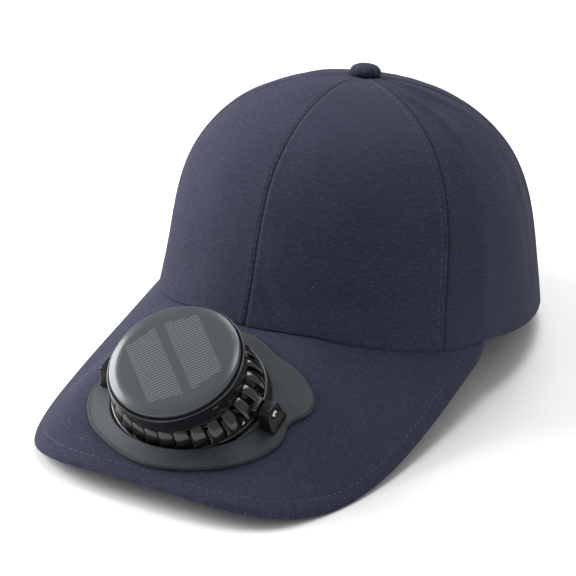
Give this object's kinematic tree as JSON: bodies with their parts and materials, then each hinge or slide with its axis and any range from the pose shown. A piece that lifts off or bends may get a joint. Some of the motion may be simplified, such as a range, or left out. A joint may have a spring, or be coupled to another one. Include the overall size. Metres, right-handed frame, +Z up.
{
  "type": "solar fan hat",
  "caption": "Navy cloth cap with an arched brim that carries a tilting round fan: a ribbed guard ring and a domed solar lid, set in a soft plastic plate.",
  "frame": {"origin": "centre of the bounding box in plan, at the surface that the hat rests on", "axes": "+Z up as the hat rests; +Y from the brim to the back of the crown, so the brim points along -Y; +X to the wearer's left"},
  "size_m": [0.1632, 0.2766, 0.1226],
  "materials": {
    "cloth": "matte",
    "soft_plate": "matte",
    "black_plastic": "gloss",
    "lid": "satin",
    "cell": "satin",
    "metal": "satin"
  },
  "bodies": {
    "cap": {"panel_front_left": "cloth", "panel_side_left": "cloth", "panel_back_left": "cloth", "panel_back_right": "cloth", "panel_side_right": "cloth", "panel_front_right": "cloth", "brim": "cloth", "crown_button": "cloth", "mount_plate": "soft_plate", "lug_left": "black_plastic", "lug_right": "black_plastic", "pivot_screw_left": "metal", "pivot_screw_right": "metal"},
    "fan_head": {"guard_ring": "black_plastic", "fan_housing": "black_plastic", "solar_lid": "lid", "solar_cell_back": "cell", "solar_cell_front": "cell", "motor": "metal", "bottom_grille": "black_plastic"},
    "impeller": {"impeller": "black_plastic"}
  },
  "joints": [
    {"name": "fan_tilt", "type": "hinge", "parent": "cap", "child": "fan_head", "pos_m": [0, -0.09866, 0.03134], "axis": [1, 0, 0], "range_deg": [-30, 15]},
    {"name": "impeller_spin", "type": "hinge", "parent": "fan_head", "child": "impeller", "pos_m": [0, -0.09866, 0.03134], "axis": [0, -0.4683, 0.8835], "continuous": true}
  ]
}
